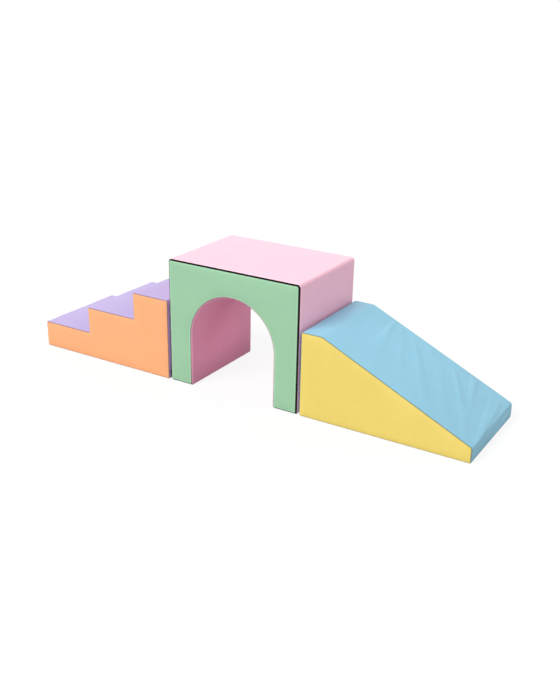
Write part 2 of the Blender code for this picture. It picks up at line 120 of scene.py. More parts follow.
# The zip. TOOTH_ENDS gives rings of a tooth, each with its place as a share of half the tooth's
# length and its size.
ZIP_SLIT = 0.9 * MM
TEETH_HALF_WIDTH = 2.6 * MM
TEETH_TOP, TEETH_BOTTOM = 4.4 * MM, 6.6 * MM
TOOTH_PITCH = 2.1 * MM
TOOTH_LENGTH = 1.35 * MM
TOOTH_CHAMFER = 0.55 * MM
SLIT_CHAMFER = 0.6 * TOOTH_CHAMFER
TOOTH_MIDDLE = 1.5 * MM
TOOTH_ENDS = [(-1, 0.75), (-0.6, 1.0), (0.6, 1.0), (1, 0.75)]
TEETH_SHORTER = 12 * MM
SHARP_ANGLE = math.radians(50)

# The topstitching. STITCH_RINGS gives rings of a thread, each with its place as a share of half the
# stitch's length, its size and its lift in mm. The stitches' places are in degrees round the edge.
STITCH_PITCH = 3.8 * MM
STITCH_LENGTH = 2.9 * MM
STITCH_LIFT = 0.35 * MM
STITCH_SHORTER = 6 * MM
THREAD_RADIUS = 0.3 * MM
STITCH_RINGS = [
    (-1, 0.15, -0.45),
    (-0.8, 0.7, -0.1),
    (-0.35, 1, 0.12),
    (0.35, 1, 0.12),
    (0.8, 0.7, -0.1),
    (1, 0.15, -0.45),
]
FACE_STITCHES, WALL_STITCHES = 12, 78
BAR_SIDES = 6

# The share of an upward direction at which a panel starts to count as a top, whose colour is
# painted lighter, and over which that grows; and a panel with no painted shade at the floor
TOP_TILT, TOP_RANGE = 0.5, 0.45
NO_FLOOR_SHADE = (0, 1)

# Materials are named after the record's slots, with this ending
FINISH = "_finish"
WHITE = (1, 1, 1, 1)

# A corner of an outline, with the swell of the side that starts there
Corner = namedtuple("Corner", "x z radius arc_steps crown")
Block = namedtuple("Block", "name corners x")
# A rounded edge: the angles of its two seams, the depth of the valley there and the hem's height
Edge = namedtuple("Edge", "radius face_seam wall_seam valley hem")
# A row of a panel: how far it lies inside the outline, and its angle on a rounded edge
Row = namedtuple("Row", "inset y angle side seam_distance")
# An outline: its points, its directions out, how far along its side each point is and that side's
# crown, and where each corner's middle is in the list
Line = namedtuple("Line", "points normals share crown middles")
# Loose cloth and its cuts, as cloth_folds and cut_cloth use them
Loose = namedtuple("Loose", "cuts stiffness broadest gain")
Cut = namedtuple("Cut", "place reach shear inner")

PLAIN_EDGE = Edge(5 * MM, 44, 46, SEAM_DEPTH, 0)
ZIP_EDGE = Edge(10 * MM, 21, 69, 0.3 * MM, HEM_HEIGHT)
BOUND_EDGE = Edge(10 * MM, 24, 26, SEAM_DEPTH, 0)


# Outlines


def corner_arcs(corners, inset, sharp, along, out):
    """Points and directions out of each rounded corner, an arc that touches both sides. sharp are the
    corners before rounding, and along and out are the directions of the sides that start there."""
    arcs = []
    for i, corner in enumerate(corners):
        before, after = along[i - 1], along[i]
        turn = math.atan2(before[0] * after[1] - before[1] * after[0], before @ after)
        bend = math.copysign(1, turn)
        radius = max(corner.radius - bend * inset, LEAST_RADIUS)
        tip = sharp[i] - inset * (out[i - 1] + out[i]) / (1 + out[i - 1] @ out[i])
        start = tip - before * radius * math.tan(abs(turn) / 2)
        centre = start - out[i - 1] * radius * bend
        angles = np.linspace(0, turn, corner.arc_steps + 1)
        cos, sin = np.cos(angles), np.sin(angles)
        nx, nz = out[i - 1]
        normals = np.stack([nx * cos - nz * sin, nx * sin + nz * cos], axis=1)
        arcs.append((centre + normals * radius * bend, normals))
    return arcs


def block_outline(block, inset):
    """The block's outline moved in by inset. Outside corners get tighter and inside corners wider. On
    a straight side the spacing is even. share runs from 0 to 1 along a side and is 0 on corners."""
    corners = block.corners
    sharp = np.array([(c.x, c.z) for c in corners])
    along = np.roll(sharp, -1, axis=0) - sharp
    lengths = np.linalg.norm(along, axis=1)
    along /= lengths[:, None]
    out = np.stack([along[:, 1], -along[:, 0]], axis=1)
    arcs = corner_arcs(corners, inset, sharp, along, out)

    points, normals, share, crown, middles = [], [], [], [], []
    count = 0
    for i, corner in enumerate(corners):
        arc, arc_normals = arcs[i]
        meets = bool(points) and np.linalg.norm(arc[0] - points[-1][-1]) < 0.001 * MM
        first = 1 if meets else 0
        middles.append(count - first + corner.arc_steps // 2)
        points.append(arc[first:])
        normals.append(arc_normals[first:])
        share.append(np.zeros(len(arc) - first))
        crown.append(np.zeros(len(arc) - first))
        start, end = arc[-1], arcs[(i + 1) % len(corners)][0][0]
        steps = max(1, round(lengths[i] / COLUMN_SPACING))
        u = np.linspace(0, 1, steps + 1)[1:-1]
        points.append(start + u[:, None] * (end - start))
        normals.append(np.tile(out[i], (len(u), 1)))
        share.append(u)
        crown.append(np.full(len(u), corner.crown))
        count += len(arc) - first + len(u)
    return Line(*(np.concatenate(part) for part in (points, normals, share, crown)), middles)


def stretch(block, inset, first, last):
    """The outline from the middle of corner first to the middle of corner last."""
    line = block_outline(block, inset)
    start, end = line.middles[first], line.middles[last]
    if end <= start:
        end += len(line.points)
    pick = np.arange(start, end + 1) % len(line.points)
    return Line(line.points[pick], line.normals[pick], line.share[pick], line.crown[pick], None)


def run_length(points):
    """The length along a row of points, from 0 at its start."""
    return np.concatenate([[0], np.cumsum(np.linalg.norm(np.diff(points, axis=0), axis=1))])


def places_on(line, length, places):
    """A line at some lengths along it: its points, the directions out and the directions along."""
    flat = np.stack([np.interp(places, length, line.points[:, k]) for k in (0, 1)], axis=1)
    out = np.stack([np.interp(places, length, line.normals[:, k]) for k in (0, 1)], axis=1)
    out /= np.linalg.norm(out, axis=1)[:, None]
    return flat, out, np.stack([-out[:, 1], out[:, 0]], axis=1)


def in_space(flat, y=0.0):
    """Points or directions of the X-Z plane as triples, with a y."""
    return np.stack(np.broadcast_arrays(flat[..., 0], y, flat[..., 1]), axis=-1)


def edge_row(edge, angle, side, seam):
    """A line on a rounded edge, at an angle that is 0 at the face and 90 at the wall."""
    turned = math.radians(angle)
    inset = edge.radius * (1 - math.sin(turned))
    y = side * (DEPTH / 2 - edge.radius * (1 - math.cos(turned)))
    return Row(inset, y, angle, side, abs(turned - math.radians(seam)) * edge.radius)


def edge_rows(edge, seam, end, side):
    """Rows from a seam to the end of the rounded edge, close together beside the seam."""
    turn = math.copysign(1, end - seam)
    angles = [seam + turn * math.degrees(distance * MM / edge.radius) for distance in SEAM_ROWS]
    steps = max(1, math.ceil(abs(end - angles[-1]) / EDGE_TURN))
    angles += [angles[-1] + (end - angles[-1]) * k / steps for k in range(1, steps + 1)]
    return [edge_row(edge, angle, side, seam) for angle in angles]


# Shapes of the cloth: every function gives a height over the taut surface


def slow_swell(s, t, seed, size):
    """Sine waves, SWELL_LENGTHS long, that cross at any angle and sum to about size."""
    rng = np.random.default_rng(seed)
    total = np.zeros_like(s)
    for _ in range(SWELL_WAVES):
        length = rng.uniform(*SWELL_LENGTHS) * MM
        heading = rng.uniform(0, math.pi)
        phase = rng.uniform(0, 2 * math.pi)
        total += np.sin((s * math.cos(heading) + t * math.sin(heading)) * 2 * math.pi / length + phase)
    return total * size / (SWELL_WAVES / 2)


def seam_pucker(s, distance, seed, size):
    """Ripples along a seam: sines PUCKER_LENGTHS long, times exp(-d / PUCKER_REACH) and times
    1 - exp(-d / PUCKER_RISE), with d the distance from it."""
    rng = np.random.default_rng(seed)
    total = np.zeros_like(s)
    for length in PUCKER_LENGTHS:
        phase = rng.uniform(0, 2 * math.pi)
        total += np.sin(s * 2 * math.pi / (length * MM) + phase) * rng.uniform(0.5, 1)
    return total * size / 2 * np.exp(-distance / PUCKER_REACH) * (1 - np.exp(-distance / PUCKER_RISE))


def eased(distance, width):
    """A share that rises from 0 at a seam to 1 over a width: 1 - exp(-(d / width)^2)."""
    return 1 - np.exp(-((distance / width) ** 2))


def cut_cloth(s, y, cuts):
    """How far each point of the flat cut lies from its place on the foam, along the strip. With
    d = (s - place) / reach, the rear seam is cut shear exp(-d^2) out of place. Towards the front this
    falls evenly to nothing at inner, a share of the half depth."""
    moved = np.zeros_like(s)
    across = 2 * y / DEPTH
    for part in cuts:
        d = (s - part.place) / part.reach
        moved -= part.shear * np.exp(-(d**2)) * np.clip(across - part.inner, 0, None) / (1 - part.inner)
    return moved


def run_cloth(cut, placed, faces, held, stiffness):
    """Blender's cloth on one panel. The panel starts as it was cut, its seams move to where they are
    held on the foam, and the cloth between them buckles. Returns the points where it comes to rest."""
    scene = bpy.context.scene
    first = scene.frame_current
    mesh = bpy.data.meshes.new("loose_cloth")
    mesh.from_pydata(cut.reshape(-1, 3).tolist(), [], faces.tolist())
    panel = bpy.data.objects.new("loose_cloth", mesh)
    scene.collection.objects.link(panel)
    panel.shape_key_add(name="cut")
    key = panel.shape_key_add(name="placed")
    key.data.foreach_set("co", placed.ravel())
    for frame_number, value in ((1, 0), (PULL_FRAMES, 1)):
        key.value = value
        key.keyframe_insert("value", frame=frame_number)
    group = panel.vertex_groups.new(name="held")
    for k in np.nonzero(held.ravel() > 0)[0]:
        group.add([int(k)], float(held.ravel()[k]), "REPLACE")
    cloth = panel.modifiers.new("cloth", "CLOTH").settings
    for setting, value in CLOTH_SETTINGS.items():
        setattr(cloth, setting, value)
    cloth.bending_stiffness = stiffness
    cloth.effector_weights.gravity = 0
    cloth.vertex_group_mass = "held"
    for frame_number in range(1, REST_FRAMES + 1):
        scene.frame_set(frame_number)
    rested = panel.evaluated_get(bpy.context.evaluated_depsgraph_get()).data
    points = np.empty(placed.size)
    rested.vertices.foreach_get("co", points)
    action = mesh.shape_keys.animation_data.action
    bpy.data.objects.remove(panel)
    bpy.data.meshes.remove(mesh)
    bpy.data.actions.remove(action)
    scene.frame_set(first)
    return points.reshape(placed.shape)


def smoothing(to, places, width):
    """Weights exp(-(d / width)^2) that carry values at places over to new places."""
    weights = np.exp(-(((to[:, None] - places[None, :]) / width) ** 2))
    return weights / weights.sum(axis=1, keepdims=True)


def cloth_folds(block, span, loose, seed, to_s, to_y):
    """Folds of a wall panel, as heights at to_s along it and to_y across it. The cloth runs on a net
    with CLOTH_SPACING. Of its rise the part between FOLD_FINE and the broadest is kept, times the
    gain, and eased to at most FOLD_CAP out and FOAM_GIVE into the foam."""
    line = stretch(block, 0, *span)
    length = run_length(line.points)
    s = np.linspace(0, length[-1], round(length[-1] / CLOTH_SPACING) + 1)
    y = np.linspace(-DEPTH / 2, DEPTH / 2, round(DEPTH / CLOTH_SPACING) + 1)
    s_grid, y_grid = np.meshgrid(s, y)
    flat, out, along = places_on(line, length, s)
    normals, tangents = in_space(out), in_space(along)
    uneven = np.random.default_rng(seed).normal(0, CLOTH_UNEVEN, s_grid.shape)
    lifted = CLOTH_RISE * (1 - (2 * y_grid / DEPTH) ** 4) + uneven
    placed = in_space(flat, y_grid) + normals * lifted[..., None]
    cut = placed + tangents * cut_cloth(s_grid, y_grid, loose.cuts)[..., None]
    edge = np.minimum(np.minimum(s_grid, s[-1] - s_grid), DEPTH / 2 - np.abs(y_grid))
    held = np.clip(1.5 - edge / HELD_WIDTH, 0, 1)
    rested = run_cloth(cut, placed, grid_faces(len(y), len(s)), held, loose.stiffness)
    rise = ((rested - placed) * normals).sum(axis=-1)
    fine = smoothing(to_y, y, FOLD_FINE) @ rise @ smoothing(to_s, s, FOLD_FINE).T
    broad = smoothing(to_y, y, loose.broadest) @ rise @ smoothing(to_s, s, loose.broadest).T
    folds = (fine - broad) * loose.gain
    limit = np.where(folds > 0, FOLD_CAP, FOAM_GIVE)
    return limit * np.tanh(folds / limit)


def hem_roll(distance):
    """The folded hem beside a zip: exp(-((d - HEM_PLACE) / HEM_WIDTH)^2)."""
    return np.exp(-(((distance - HEM_PLACE) / HEM_WIDTH) ** 2))


def seam_valley(distance, depth, hem=0.0):
    """The panel dips into a seam by depth exp(-d / SEAM_WIDTH). Beside a zip the hem stands proud."""
    return hem * hem_roll(distance) - depth * np.exp(-distance / SEAM_WIDTH)


# Meshes


def add_piece(name, mesh, body, material, attributes=()):
    """A finished piece that rides on a body. attributes are (label, values) for the mesh's points."""
    for label, values in attributes:
        layer = mesh.attributes.new(label, "FLOAT", "POINT")
        layer.data.foreach_set("value", np.asarray(values, dtype=np.float32).ravel())
    mesh.materials.append(material)
    mesh.shade_smooth()
    piece = bpy.data.objects.new(name, mesh)
    bpy.context.scene.collection.objects.link(piece)
    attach(piece, body)
    return piece


def add_cover(name, mesh, body, material, attributes, node):
    """A panel of the cover with the thickness of its cloth, in place of a node of the part."""
    piece = add_piece(name, mesh, body, material, attributes)
    wall = piece.modifiers.new("thickness", "SOLIDIFY")
    wall.thickness = SKIN
    wall.offset = -1
    wall.use_even_offset = False
    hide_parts(node)


def mesh_of(name, points, faces):
    """A mesh of points in space, whatever the grid that they come in."""
    mesh = bpy.data.meshes.new(name)
    mesh.from_pydata(np.asarray(points).reshape(-1, 3).tolist(), [], [list(face) for face in faces])
    return mesh


def grid_faces(rows, columns):
    """Four corners of each cell of a grid, in an order that gives the side that faces out."""
    index = np.arange(rows * columns).reshape(rows, columns)
    corners = (index[:-1, :-1], index[1:, :-1], index[1:, 1:], index[:-1, 1:])
    return np.stack(corners, axis=-1).reshape(-1, 4)


def wall_rows(front, rear):
    """Rows of a wall panel from the seam on its front edge to the seam on its rear edge."""
    flat_start = -DEPTH / 2 + front.radius
    flat_end = DEPTH / 2 - rear.radius
    steps = math.ceil((flat_end - flat_start) / ROW_SPACING)
    rows = edge_rows(front, front.wall_seam, 90, FRONT)
    for y in np.linspace(flat_start, flat_end, steps + 1)[1:-1]:
        from_seam = min(y - flat_start + front.radius, flat_end - y + rear.radius)
        rows.append(Row(0, y, 90, FRONT, from_seam))
    return rows + edge_rows(rear, rear.wall_seam, 90, REAR)[::-1]


def wall_panel(block, name, node, span, edges, material, seed, swell=WALL_SWELL, loose=None, floor_shade=NO_FLOOR_SHADE):
    """A strip of the cover round part of the outline. Along it s is the length of the outline and v is
    the share of the half depth. The swell of a side is crown (1 - |2 share - 1|^3) (1 - v^4). The last
    argument is how much shade is painted into its colour at the floor, and the height over which that
    dies away."""
    front, rear = edges
    rows = wall_rows(front, rear)
    lines = [stretch(block, row.inset, *span) for row in rows]
    flat = np.stack([line.points for line in lines])
    out = np.stack([line.normals for line in lines])
    tilt = np.radians([row.angle for row in rows])[:, None]
    side = np.array([row.side for row in rows])[:, None]
    y = np.array([row.y for row in rows])[:, None] * np.ones(flat.shape[:2])
    normals = in_space(out * np.sin(tilt)[..., None], side * np.cos(tilt))
    base = in_space(flat, y) + (block.x, 0, 0)

    middle = lines[len(lines) // 2].points
    s = np.tile(run_length(middle), (len(rows), 1))
    across = np.array([row.seam_distance for row in rows])[:, None] + 0 * s
    ends = np.minimum(s, s[0, -1] - s)
    mask = eased(np.minimum(across, ends), WALL_EASE)
    valley = np.where(y < 0, front.valley, rear.valley)
    hem = np.where(y < 0, front.hem, rear.hem)
    share, crown = lines[0].share, lines[0].crown
    v = np.clip(np.abs(y) / (DEPTH / 2), 0, 1)
    height = crown * (1 - np.abs(2 * share - 1) ** 3) * (1 - v**4)
    height += slow_swell(s, y, seed, swell) * mask
    height += seam_pucker(s, across, seed + 1, SEAM_PUCKER) + seam_pucker(y, ends, seed + 2, END_PUCKER)
    if loose:
        height += cloth_folds(block, span, loose, seed, s[0], y[:, 0]) * mask
    height += seam_valley(across, valley, hem) + seam_valley(ends, SEAM_DEPTH)
    points = base + normals * height[..., None]
    points[..., 2] = np.maximum(points[..., 2], 0)

    attributes = [
        ("seam_distance", np.minimum(across + hem * HEM_CLEAR, ends)),
        # How much a part faces up, for the painted light on its top
        ("upward", np.clip((normals[..., 2] - TOP_TILT) / TOP_RANGE, 0, 1) ** 2),
        ("hem_roll", hem_roll(across) * (hem > 0)),
        # Painted shade: the colour is darkened towards the floor
        ("floor_shade", floor_shade[0] * np.exp(-((points[..., 2] / floor_shade[1]) ** 2))),
    ]
    mesh = mesh_of(name, points, grid_faces(*points.shape[:2]).tolist())
    add_cover(name, mesh, block.name, material, attributes, node)


def distance_to_line(points, line):
    """Least distance from each point to a closed line of short segments."""
    start, end = line, np.roll(line, -1, axis=0)
    run = end - start
    length = (run**2).sum(axis=1)
    best = np.full(len(points), np.inf)
    batch = 2000
    for part in range(0, len(points), batch):
        here = points[part : part + batch, None, :]
        place = np.clip(((here - start) * run).sum(axis=2) / length, 0, 1)
        gap = here - (start + place[..., None] * run)
        best[part : part + batch] = np.sqrt((gap**2).sum(axis=2).min(axis=1))
    return best


def inside_line(points, line):
    """Even-odd test: a ray towards +X crosses the closed line an odd number of times."""
    x, z = points[:, 0:1], points[:, 1:2]
    x0, z0 = line[:, 0], line[:, 1]
    x1, z1 = np.roll(x0, -1), np.roll(z0, -1)
    spans = (z0 > z) != (z1 > z)
    crossing = x0 + (z - z0) / np.where(z1 == z0, 1e-12, z1 - z0) * (x1 - x0)
    return (spans & (x < crossing)).sum(axis=1) % 2 == 1


def inner_net(line):
    """An even net of triangles inside a closed line: the net's own points, and the triangles with the
    line's points numbered first."""
    low, high = line.min(axis=0), line.max(axis=0)
    columns = np.arange(low[0], high[0], NET_SPACING)
    rows = np.arange(low[1], high[1], NET_SPACING * TRIANGLE_HEIGHT)
    gx, gz = np.meshgrid(columns, rows)
    gx[1::2] += NET_SPACING / 2
    net = np.stack([gx.ravel(), gz.ravel()], axis=1)
    net = net[inside_line(net, line)]
    net = net[distance_to_line(net, line) > NET_CLEAR]
    plane = np.concatenate([line, net])
    ring_edges = [(k, (k + 1) % len(line)) for k in range(len(line))]
    _, _, triangles, origin, _, _ = delaunay_2d_cdt(plane.tolist(), ring_edges, [], 1, 1e-7)
    back = np.array([src[0] for src in origin])
    return net, back[np.array(triangles)]


def face_panel(block, name, node, side, edge, material, seed):
    """A side face of the cover: rings from the seam over the rounded edge, then an even net of
    triangles. Its swell is FACE_CROWN (1 - exp(-d / CROWN_WIDTH)), with d the distance from the edge."""
    face_y = side * DEPTH / 2
    rows = edge_rows(edge, edge.face_seam, 0, side)
    rows.append(Row(edge.radius + INNER_RING, face_y, 0, side, rows[-1].seam_distance + INNER_RING))
    rings = [block_outline(block, row.inset) for row in rows]
    count = len(rings[0].points)
    net, triangles = inner_net(rings[-1].points)
    true_line = block_outline(block, 0).points
    from_edge = distance_to_line(net, true_line)

    def on_rings(values, inside):
        """One value for all the points of each ring, then the values of the net."""
        return np.concatenate([np.repeat(values, count), inside])

    flat = np.concatenate([ring.points for ring in rings] + [net])
    out = np.concatenate([ring.normals for ring in rings] + [np.zeros((len(net), 2))])
    sine = on_rings([math.sin(math.radians(row.angle)) for row in rows], np.zeros(len(net)))
    y = on_rings([row.y for row in rows], np.full(len(net), face_y))
    net_seam = from_edge + rows[-1].seam_distance - edge.radius - INNER_RING
    seam = on_rings([row.seam_distance for row in rows], net_seam)
    inward = on_rings([row.inset for row in rows], from_edge)
    steps = np.linalg.norm(np.diff(true_line, axis=0, append=true_line[:1]), axis=1)
    s = np.tile(np.cumsum(steps), len(rows))
    height = FACE_CROWN * (1 - np.exp(-np.clip(inward - edge.radius, 0, None) / CROWN_WIDTH))
    height += slow_swell(flat[:, 0], flat[:, 1], seed, FACE_SWELL) * eased(seam, FACE_EASE)
    height[: len(s)] += seam_pucker(s, seam[: len(s)], seed + 1, SEAM_PUCKER)
    height += seam_valley(seam, edge.valley, edge.hem)
    normals = in_space(out * sine[:, None], side * np.sqrt(1 - sine**2))
    points = in_space(flat, y) + (block.x, 0, 0) + normals * height[:, None]
    points[:, 2] = np.maximum(points[:, 2], 0)

    index = np.arange(len(rows) * count).reshape(len(rows), count)
    following = np.roll(index, -1, axis=1)
    quads = np.stack([index[:-1], following[:-1], following[1:], index[1:]], axis=-1).reshape(-1, 4)
    triangles = triangles + (len(rows) - 1) * count
    if side == REAR:
        quads, triangles = quads[:, ::-1], triangles[:, ::-1]
    mesh = mesh_of(name, points, quads.tolist() + triangles.tolist())
    attributes = [
        ("seam_distance", seam + edge.hem * HEM_CLEAR),
        ("hem_roll", hem_roll(seam) * (edge.hem > 0)),
    ]
    add_cover(name, mesh, block.name, material, attributes, node)


# Blocks


def tunnel_block():
    """A rectangle with an arch cut out of it."""
    half, arch = TUNNEL_WIDTH / 2, ARCH_WIDTH / 2
    corners = [
        Corner(-half, 0, FOOT_RADIUS, 6, 0),
        Corner(-arch, 0, FOOT_RADIUS, 6, 0),
        Corner(-arch, ARCH_HEIGHT, arch, 54, 0),
        Corner(arch, ARCH_HEIGHT, arch, 54, 0),
        Corner(arch, 0, FOOT_RADIUS, 6, 0),
        Corner(half, 0, FOOT_RADIUS, 6, 0),
        Corner(half, TUNNEL_HEIGHT, TOP_RADIUS, 8, TOP_CROWN),
        Corner(-half, TUNNEL_HEIGHT, TOP_RADIUS, 8, 0),
    ]
    return Block("tunnel", corners, 0)


def steps_block():
    """Three treads that rise towards the tunnel."""
    second = -TOP_TREAD
    first = second - LOWER_TREAD
    low_end = first - LOWER_TREAD
    corners = [
        Corner(low_end, 0, FOOT_RADIUS, 6, 0),
        Corner(0, 0, FOOT_RADIUS, 6, 0),
        Corner(0, 3 * STEP_RISE, NOSE_RADIUS, 6, TREAD_CROWN),
        Corner(second, 3 * STEP_RISE, NOSE_RADIUS, 6, RISER_CROWN),
        Corner(second, 2 * STEP_RISE, DIP_RADIUS, 6, TREAD_CROWN),
        Corner(first, 2 * STEP_RISE, NOSE_RADIUS, 6, RISER_CROWN),
        Corner(first, STEP_RISE, DIP_RADIUS, 6, TREAD_CROWN),
        Corner(low_end, STEP_RISE, NOSE_RADIUS, 6, RISER_CROWN),
    ]
    return Block("steps", corners, -TUNNEL_WIDTH / 2 - STEPS_GAP)


def slide_block():
    """A landing beside the tunnel, a straight run and an upright toe."""
    corners = [
        Corner(0, 0, FOOT_RADIUS, 6, 0),
        Corner(SLIDE_LENGTH, 0, FOOT_RADIUS, 6, TOE_CROWN),
        Corner(SLIDE_LENGTH, SLIDE_TOE, TOP_RADIUS, 8, RUN_CROWN),
        Corner(SLIDE_LANDING, SLIDE_HEIGHT, LANDING_RADIUS, 8, LANDING_CROWN),
        Corner(0, SLIDE_HEIGHT, NOSE_RADIUS, 6, 0),
    ]
    return Block("slide", corners, TUNNEL_WIDTH / 2 + SLIDE_GAP)


# Zip and stitches


def along_edge(block, inset, y, span, pitch, shorter):
    """Places at an even pitch along a line at an inset and a y: points, outline normals, tangents."""
    line = stretch(block, inset, *span)
    length = run_length(line.points)
    room = length[-1] - 2 * shorter
    count = int(room / pitch)
    places = shorter + (room - (count - 1) * pitch) / 2 + np.arange(count) * pitch
    flat, out, along = places_on(line, length, places)
    return in_space(flat, y) + (block.x, 0, 0), in_space(out), in_space(along)


def bar_faces(rings):
    """Faces of a closed bar with BAR_SIDES sides and some rings of points along it."""
    faces = []
    last = (rings - 1) * BAR_SIDES
    for start in range(0, last, BAR_SIDES):
        for k in range(BAR_SIDES):
            n = (k + 1) % BAR_SIDES
            faces.append([start + k, start + n, start + BAR_SIDES + n, start + BAR_SIDES + k])
    faces.append(list(range(BAR_SIDES))[::-1])
    faces.append([last + k for k in range(BAR_SIDES)])
    return faces


def repeated_bars(name, shape, rings, points, axes, body, material):
    """A piece of many copies of a small bar, each set at a point and along its own three axes. The
    faces of every copy are turned out."""
    placed = points[:, None, :] + np.einsum("vk,nkj->nvj", shape, np.stack(axes, axis=1))
    step = (np.arange(len(points)) * len(shape))[:, None]
    faces = []
    for face in bar_faces(rings):
        faces += (np.array(face) + step).tolist()
    mesh = mesh_of(name, placed, faces)
    copies = bmesh.new()
    copies.from_mesh(mesh)
    bmesh.ops.recalc_face_normals(copies, faces=copies.faces)
    copies.to_mesh(mesh)
    copies.free()
    piece = add_piece(name, mesh, body, material)
    mesh.set_sharp_from_angle(angle=SHARP_ANGLE)
    return piece


def zip_teeth(block, name, node, side, hand, span):
    """A row of teeth: bars with a chamfered top, square to the slit and smaller at both ends. hand is
    1 beside the face panel and -1 beside the wall panel."""
    slit, high, low = ZIP_SLIT / 2, TEETH_TOP, TEETH_BOTTOM
    section = [
        (slit, low),
        (slit, high + SLIT_CHAMFER),
        (slit + SLIT_CHAMFER, high),
        (TEETH_HALF_WIDTH - TOOTH_CHAMFER, high),
        (TEETH_HALF_WIDTH, high + TOOTH_CHAMFER),
        (TEETH_HALF_WIDTH, low),
    ]
    middle = (TEETH_TOP + TEETH_BOTTOM) / 2
    shape = []
    for place, size in TOOTH_ENDS:
        for across, down in section:
            narrowed = (across - TOOTH_MIDDLE) * (0.8 + 0.2 * size) + TOOTH_MIDDLE
            shape.append((place * TOOTH_LENGTH / 2, narrowed, (down - low) * size + low - middle))
    shape = np.array(shape) * (1, hand, 1)
    inset = middle / math.sqrt(2)
    y = side * (DEPTH / 2 - inset)
    shorter = TEETH_SHORTER + (TOOTH_PITCH / 2 if hand < 0 else 0)
    points, out, tangents = along_edge(block, inset, y, span, TOOTH_PITCH, shorter)
    aside = np.array([0, side, 0])
    axes = (tangents, (aside - out) / math.sqrt(2), (-aside - out) / math.sqrt(2))
    piece = repeated_bars(name, shape, len(TOOTH_ENDS), points, axes, block.name, TEETH)
    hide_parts(node)


def stitch_row(block, name, side, angle, span, material):
    """Topstitching beside a zip: short threads that dip at both ends."""
    row = edge_row(ZIP_EDGE, angle, side, angle)
    points, out, tangents = along_edge(block, row.inset, row.y, span, STITCH_PITCH, STITCH_SHORTER)
    turned = math.radians(angle)
    up = out * math.sin(turned) + np.array([0, side, 0]) * math.cos(turned)
    points += up * STITCH_LIFT
    shape = []
    for place, size, lift in STITCH_RINGS:
        radius = THREAD_RADIUS * size
        for turn in np.arange(BAR_SIDES) * 2 * math.pi / BAR_SIDES:
            across, height = math.cos(turn) * radius, math.sin(turn) * radius
            shape.append((place * STITCH_LENGTH / 2, across, height + lift * MM))
    axes = (tangents, np.cross(tangents, up), up)
    repeated_bars(name, np.array(shape), len(STITCH_RINGS), points, axes, block.name, material)


def cover_zip(block, side, teeth_span, stitch_span, face_material, wall_material):
    """Both rows of teeth of a block's zip, and the stitches of the panels on both sides of it."""
    for part, hand in (("face", 1), ("wall", -1)):
        name, node = f"{block.name}_teeth_by_{part}", f"{block.name}_zip_{part}_teeth"
        zip_teeth(block, name, node, side, hand, teeth_span)
    stitch_row(block, f"{block.name}_face_stitches", side, FACE_STITCHES, stitch_span, face_material)
    stitch_row(block, f"{block.name}_wall_stitches", side, WALL_STITCHES, stitch_span, wall_material)


# Finishes


def add_node(tree, kind, inputs=(), **settings):
    """A node with its settings. inputs gives each input a value or another node's output."""
    made = tree.nodes.new(kind)
    for key, value in settings.items():
        setattr(made, key, value)
    for key, value in dict(inputs).items():
        socket = made.inputs[key]
        if isinstance(value, bpy.types.NodeSocket):
            tree.links.new(value, socket)
        else:
            socket.default_value = value
    return made


def math_node(tree, operation, *values):
    """The result of a sum on numbers and outputs."""
    return add_node(tree, "ShaderNodeMath", dict(enumerate(values)), operation=operation).outputs[0]


def remapped(tree, value, old, new, kind="LINEAR"):
    """A value carried from the range old to the range new, and kept within it."""
    inputs = {"Value": value, "From Min": old[0], "From Max": old[1], "To Min": new[0], "To Max": new[1]}
    return add_node(tree, "ShaderNodeMapRange", inputs, interpolation_type=kind).outputs[0]


def noise(tree, place, scale, detail, roughness=0.5):
    """Uneven values about a half. A greater scale gives smaller spots."""
    inputs = {"Vector": place, "Scale": scale, "Detail": detail, "Roughness": roughness}
    return add_node(tree, "ShaderNodeTexNoise", inputs).outputs["Fac"]


def new_group(name, numbers):
    """A group that makes a colour, a roughness and a height out of a colour and some numbers. Returns
    it with what it takes in and the place on the object."""
    group = bpy.data.node_groups.new(name, "ShaderNodeTree")
    group.interface.new_socket("Colour", in_out="INPUT", socket_type="NodeSocketColor")
    for label in numbers:
        group.interface.new_socket(label, in_out="INPUT", socket_type="NodeSocketFloat")
    group.interface.new_socket("Colour", in_out="OUTPUT", socket_type="NodeSocketColor")
    for label in ("Roughness", "Height"):
        group.interface.new_socket(label, in_out="OUTPUT", socket_type="NodeSocketFloat")
    place = add_node(group, "ShaderNodeTexCoord").outputs["Object"]
    return group, group.nodes.new("NodeGroupInput").outputs, place


def give_out(group, colour, shade, roughness, height):
    """What a group gives out. shade makes its colour lighter or darker."""
    toned = add_node(group, "ShaderNodeHueSaturation", {"Color": colour, "Value": shade})
    results = {"Colour": toned.outputs["Color"], "Roughness": roughness, "Height": height}
    add_node(group, "NodeGroupOutput", results)


